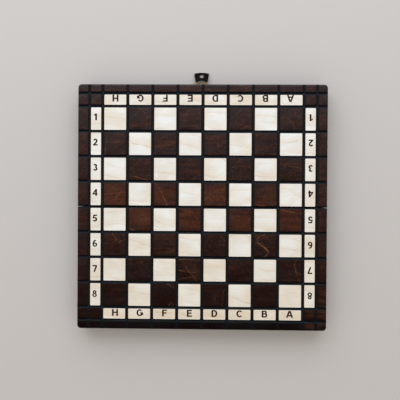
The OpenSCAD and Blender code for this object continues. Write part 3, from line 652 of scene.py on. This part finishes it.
glyphs = {
    "A": [leg(-0.37, -0.04), leg(0.37, 0.04), rung(0.3, -0.28, 0.28)],
    "B": [leg(-0.27, -0.27), rung(0.91, -0.3, 0.08), rung(0.53, -0.3, 0.1), rung(0.09, -0.3, 0.1),
          bowl(0.07, 0.72, 0.27, 0.28, -90, 90), bowl(0.09, 0.31, 0.31, 0.31, -90, 90)],
    "C": [bowl(0.02, 0.5, 0.45, 0.52, 42, 318)],
    "D": [leg(-0.29, -0.29), rung(0.91, -0.3, 0.01), rung(0.09, -0.3, 0.01), bowl(0, 0.5, 0.4, 0.5, -90, 90)],
    "E": [leg(-0.25, -0.25), rung(0.91, -0.25, 0.34), rung(0.52, -0.25, 0.29), rung(0.09, -0.25, 0.36)],
    "F": [leg(-0.23, -0.23), rung(0.91, -0.23, 0.34), rung(0.5, -0.23, 0.26)],
    "G": [bowl(-0.01, 0.5, 0.46, 0.52, 42, 335), rung(0.46, 0.05, 0.46), leg(0.35, 0.35, 0.14, 0.5)],
    "H": [leg(-0.3, -0.3), leg(0.3, 0.3), rung(0.53, -0.3, 0.3)],
    "1": [leg(0.08, 0.08), [(-0.24, 0.63), (0, 0.78), (0.1, 1), (0.02, 1), (-0.24, 0.82)]],
    "2": [bowl(0, 0.69, 0.31, 0.32, -35, 170), slant(-0.22, 0.1, 0.18, 0.56), rung(0.09, -0.32, 0.32)],
    "3": [bowl(-0.01, 0.74, 0.27, 0.27, -90, 165), bowl(0, 0.29, 0.32, 0.3, -165, 90)],
    "4": [leg(0.14, 0.14), rung(0.3, -0.37, 0.34), slant(-0.28, 0.32, 0.12, 0.94, 0.17)],
    "5": [rung(0.91, -0.19, 0.29), slant(-0.18, 0.95, -0.24, 0.44, 0.17),
          bowl(-0.01, 0.33, 0.32, 0.34, -160, 125)],
    "6": [*ring(0.01, 0.31, 0.32, 0.32), bowl(0.04, 0.46, 0.35, 0.55, 66, 195)],
    "7": [rung(0.91, -0.32, 0.32), slant(0.23, 0.86, -0.08, 0)],
    "8": [*ring(0, 0.75, 0.27, 0.26), *ring(0, 0.29, 0.32, 0.3)],
}


def lay_print(shape, sign, x, y, turned):
    """Adds one letter or number to a mesh: its strokes joined into one outline, as a thin slab of ink."""
    points = [Vector(p) for stroke in glyphs[sign] for p in stroke]
    faces, first = [], 0
    for stroke in glyphs[sign]:
        faces.append(list(range(first, first + len(stroke))))
        first += len(stroke)
    flat, _, triangles, _, _, owners = geometry.delaunay_2d_cdt(points, [], faces, 0, outline_merge)
    scale = -cap_height if turned else cap_height
    corners = [shape.verts.new((x + p.x * scale * letter_width, y + (p.y - 0.5) * scale, panel_top))
               for p in flat]
    inked = [shape.faces.new([corners[i] for i in t]) for t, own in zip(triangles, owners) if own]
    for corner in corners:
        if not corner.link_faces:
            shape.verts.remove(corner)
    sunk = bmesh.ops.extrude_face_region(shape, geom=inked, use_keep_orig=True)["geom"]
    for vert in (v for v in sunk if isinstance(v, bmesh.types.BMVert)):
        vert.co.z = panel_top - ink_sunk


def ink_finish():
    """Brown printing ink, thinner where the grain stands up."""
    material, tree, shader = finish("printed_ink")
    grain = fibres(tree, X_AXIS, *ink_fibre, detail=4)
    brown = ramp(tree, grain, (0.35, "220801"), (0.6, "351304"), (0.75, "4f290c"))
    feed(tree, shader.inputs["Base Color"], brown)
    feed(tree, shader.inputs["Roughness"], between(tree, grain, 0.3, 0.7, 0.45, 0.6))
    shader.inputs["Specular IOR Level"].default_value = 0.15
    relief(tree, shader, grain, 0.02 * MM)
    return material


ink = ink_finish()
fold_edge = panel_sizes["Fold edge"]
for half, way in (("far", 1), ("near", -1)):
    print_shape = bmesh.new()
    shift_x, shift_y = (s * MM for s in print_shift[half])
    letter_y = fold_y + way * (fold_edge + half_field + letter_band / 2) + shift_y
    for i, letter in enumerate("HGFEDCBA"):
        lay_print(print_shape, letter, field_x + (i - 3.5) * letter_pitch + shift_x, letter_y, half == "far")
    for i in range(4):
        number = str(4 - i if half == "far" else 5 + i)
        number_y = fold_y + way * (fold_edge + (i + 0.5) * number_pitch)
        for side, sign in (("left", -1), ("right", 1)):
            side_x, side_y = (s * MM for s in print_shift[side])
            number_x = field_x + sign * (half_field + number_band / 2) + side_x
            lay_print(print_shape, number, number_x, number_y + side_y, side == "right")
    bmesh.ops.recalc_face_normals(print_shape, faces=print_shape.faces)
    print_mesh = bpy.data.meshes.new(f"{half}_print")
    print_shape.to_mesh(print_mesh)
    print_shape.free()
    print_piece = bpy.data.objects.new(f"{half}_print", print_mesh)
    bpy.context.scene.collection.objects.link(print_piece)
    dress(print_piece, f"{half}_half", ink)

# Trays: two thin mouldings sprayed with glue and green flock, a pocket in them for each man. They drop
# between the rails and are glued under the panels.
tufts_per_metre = (2600, 2600, 2600)
pile_depth = 0.25 * MM


def paint(material, *nodes):
    """Gives CAD nodes whose shape is right their finish."""
    for node in nodes:
        for material_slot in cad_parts[node].material_slots:
            material_slot.material = material


def flock_finish():
    """Short upright fibres: soft, matt and a little uneven."""
    material, tree, shader = finish("green_flock")
    tuft = noise(tree, tufts_per_metre, detail=2, roughness=0.7)
    brushed = noise(tree, (60, 60, 60), detail=3)
    green = ramp(tree, tuft, (0.3, "0c1f16"), (0.5, "173626"), (0.72, "2a5540"))
    green = over(tree, between(tree, brushed, 0.4, 0.7, 0, 0.4), green, colour("1f4431"))
    feed(tree, shader.inputs["Base Color"], green)
    shader.inputs["Roughness"].default_value = 0.95
    shader.inputs["Specular IOR Level"].default_value = 0.15
    shader.inputs["Sheen Weight"].default_value = 0.35
    shader.inputs["Sheen Roughness"].default_value = 0.5
    shader.inputs["Sheen Tint"].default_value = colour("5d8f74")
    relief(tree, shader, tuft, pile_depth)
    return material


flock = flock_finish()
paint(flock, "far_tray", "near_tray")

# Feet: four discs of grey felt, cut with a punch and glued under the outer corners, as thick as the hinge
# knuckles hang below the rim.
wool_per_metre = (1500, 1500, 900)
wool_depth = 0.2 * MM


def felt_finish():
    """Pressed wool with loose fibres."""
    material, tree, shader = finish("grey_felt")
    wool = noise(tree, wool_per_metre, detail=5, roughness=0.75, distortion=1)
    grey = ramp(tree, wool, (0.3, "262626"), (0.5, "3a3938"), (0.7, "5b5957"))
    feed(tree, shader.inputs["Base Color"], grey)
    shader.inputs["Roughness"].default_value = 1
    shader.inputs["Specular IOR Level"].default_value = 0.1
    shader.inputs["Sheen Weight"].default_value = 0.3
    relief(tree, shader, wool, wool_depth)
    return material


paint(felt_finish(), "far_feet", "near_feet")

# Hinges: two small butt hinges of pressed brass on drawn steel pins, let into the rims beside the fold and
# held by countersunk brass screws.
scratch = (9 * MM, 0.12 * MM)
scratch_depth = 0.01 * MM


def metal_finish(name, bright, dull, roughness):
    """Worn metal with fine drawn scratches."""
    material, tree, shader = finish(name)
    scratches = fibres(tree, X_AXIS, *scratch, detail=3)
    tarnish = noise(tree, (260, 260, 260), detail=4, roughness=0.6)
    metal = over(tree, between(tree, tarnish, 0.42, 0.68), colour(bright), colour(dull))
    feed(tree, shader.inputs["Base Color"], metal)
    shader.inputs["Metallic"].default_value = 1
    feed(tree, shader.inputs["Roughness"], between(tree, scratches, 0.3, 0.7, roughness, roughness + 0.14))
    relief(tree, shader, scratches, scratch_depth)
    return material


brass = metal_finish("hinge_brass", "d9b267", "a67c3c", 0.26)
steel = metal_finish("drawn_steel", "b9b6b0", "8d8a84", 0.3)
for side in ("left", "right"):
    paint(brass, f"{side}_hinge_far_leaf", f"{side}_hinge_near_leaf")
    paint(steel, f"{side}_hinge_pin")
paint(brass, "far_hinge_screws", "near_hinge_screws")

# Clasp: a lever of browned brass that turns on a steel pin in the rolled foot of its wall plate, and a button
# stud on the near wall that snaps into the lever's hole. Rubbing keeps the lever's legs and the roll bright.
lever_low, lever_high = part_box("clasp_lever")
bright_reach = 6 * MM
rub_ragged = 2 * MM
clasp_edge = 0.15 * MM


def browned_finish(name, rubbed_from, rubbed_to, bright):
    """Chemically browned brass, rubbed back to the metal over a stretch of Y."""
    material, tree, shader = finish(name)
    y = parts_of(tree, "Object")[Y_AXIS]
    cloud = noise(tree, (420, 420, 420), detail=4)
    reach = calc(tree, "ADD", y, calc(tree, "MULTIPLY", calc(tree, "SUBTRACT", cloud, 0.5), rub_ragged))
    bare = calc(tree, "MULTIPLY", between(tree, reach, rubbed_from - 0.5 * MM, rubbed_from + 0.5 * MM),
                between(tree, reach, rubbed_to + 0.6 * MM, rubbed_to - 0.6 * MM))
    brown = ramp(tree, cloud, (0.35, "060201"), (0.55, "0d0502"), (0.75, "1d120a"))
    feed(tree, shader.inputs["Base Color"], over(tree, bare, brown, colour(bright)))
    feed(tree, shader.inputs["Metallic"], between(tree, bare, 0, 1))
    feed(tree, shader.inputs["Roughness"], between(tree, cloud, 0.3, 0.7, 0.42, 0.55))
    shader.inputs["Specular IOR Level"].default_value = 0.05
    relief(tree, shader, cloud, 0.03 * MM)
    return material


rubbed_brass = metal_finish("rubbed_brass", "c9a868", "8a6a3a", 0.34)
lever_brass = browned_finish("browned_lever", lever_low.y - rub_ragged, lever_low.y + bright_reach, "7d6336")
plate_brass = browned_finish("browned_plate", lever_low.y, lever_high.y, "d8bd84")
eased("clasp_lever", "clasp", lever_brass, clasp_edge)
paint(plate_brass, "clasp_plate")
paint(rubbed_brass, "clasp_stud")
paint(steel, "clasp_pin")
paint(brass, "clasp_nails", "stud_nails")

# Chessmen: turned in boxwood and in a plain hardwood that is stained dark, the knights' heads carved and
# glued on. The lathe leaves fine rings round each man's axis, which lies along Y in the trays.
man_fibre = (18 * MM, 0.7 * MM)
lathe_rings_per_metre = (2, 2200, 2)
ring_depth = 0.03 * MM


def man_finish(name, pale, middle, deep):
    """Turned wood under satin varnish, its grain and its axis along Y."""
    material, tree, shader = finish(name)
    grain = fibres(tree, Y_AXIS, *man_fibre, detail=6, distortion=0.5)
    cloud = noise(tree, (90, 40, 90), detail=2)
    wood = ramp(tree, grain, (0.3, pale), (0.55, middle), (0.78, deep))
    wood = over(tree, between(tree, cloud, 0.4, 0.7, 0, 0.35), wood, colour(deep))
    end_grain = between(tree, facing(tree, Y_AXIS), 0.8, 0.95, 0, 0.3)
    wood = over(tree, end_grain, wood, colour(deep))
    feed(tree, shader.inputs["Base Color"], wood)
    feed(tree, shader.inputs["Roughness"], between(tree, grain, 0.3, 0.7, 0.3, 0.4))
    shader.inputs["Coat Weight"].default_value = 0.25
    shader.inputs["Coat Roughness"].default_value = 0.2
    rings = noise(tree, lathe_rings_per_metre, detail=2)
    relief(tree, shader, calc(tree, "ADD", rings, calc(tree, "MULTIPLY", grain, 0.5)), ring_depth)
    return material


boxwood = man_finish("boxwood", "e6c58c", "d8b072", "b98a4e")
stained_man = man_finish("stained_man", "1c0d07", "2f170d", "4a2614")
officers = ["rook_1", "knight_1", "bishop_1", "queen", "king", "bishop_2", "knight_2", "rook_2"]
for man in officers + [f"pawn_{i}" for i in range(1, 9)]:
    paint(boxwood, f"white_{man}")
    paint(stained_man, f"black_{man}")

# Table, light and camera: a plain pale table under a soft room light, a large window beyond the clasp, and
# the camera nearly straight above the board.
table_radius = 4.0
table_sides = 96
table_colour = colour("cdc6c1")
window_size = (2.0, 1.2)
window_place = Vector((-0.15, 1.05, 1.0))
window_power = 14
window_tint = (0.86, 0.96, 1.1)
room_level = 0.68
room_tint = colour("fffdf8")
horizon = (0.06, 0.22)
near_ceiling = (-0.08, 0.3)
lens_mm = 50.49
camera_place = Vector((13.8, 5.8, 729.88)) * MM
camera_turn = (-0.365, 1.318, 0.368)


def pale_world():
    """Room light on everything, and a backdrop: pale at the horizon, and dark above the near side."""
    world = bpy.data.worlds.new("room")
    bpy.context.scene.world = world
    world.use_nodes = True
    tree = world.node_tree
    sky = tree.nodes["Background"]
    ray = add(tree, "ShaderNodeLightPath").outputs
    seen = calc(tree, "MAXIMUM", ray["Is Camera Ray"], calc(
        tree, "MAXIMUM", ray["Is Glossy Ray"], ray["Is Transmission Ray"]))
    _, far, up = parts_of(tree, "Generated")
    ceiling = over(tree, between(tree, far, *near_ceiling), colour("010101"), colour("cbd2de"))
    backdrop = over(tree, between(tree, up, *horizon), table_colour, ceiling)
    room = [room_level * c for c in room_tint[:3]] + [1]
    feed(tree, sky.inputs["Color"], over(tree, seen, room, backdrop))


table_mesh = bpy.data.meshes.new("table")
table_shape = bmesh.new()
bmesh.ops.create_circle(table_shape, cap_ends=True, segments=table_sides, radius=table_radius)
table_shape.to_mesh(table_mesh)
table_shape.free()
table = bpy.data.objects.new("table", table_mesh)
bpy.context.scene.collection.objects.link(table)
table_finish, _, table_shader = finish("pale_table")
table_shader.inputs["Base Color"].default_value = table_colour
table_shader.inputs["Roughness"].default_value = 0.6
table_shader.inputs["Specular IOR Level"].default_value = 0.2
table_mesh.materials.append(table_finish)

pale_world()
window = bpy.data.objects.new("window", bpy.data.lights.new("window", "AREA"))
window.data.shape = "RECTANGLE"
window.data.size, window.data.size_y = window_size
window.data.energy = window_power
window.data.color = window_tint
window.location = window_place
window.rotation_euler = (-window_place).to_track_quat("-Z", "Y").to_euler()
bpy.context.scene.collection.objects.link(window)

camera = bpy.data.objects.new("camera", bpy.data.cameras.new("camera"))
camera.data.lens = lens_mm
camera.location = camera_place
camera.rotation_euler = [math.radians(a) for a in camera_turn]
bpy.context.scene.collection.objects.link(camera)
bpy.context.scene.camera = camera
bpy.context.scene.view_settings.view_transform = "Standard"
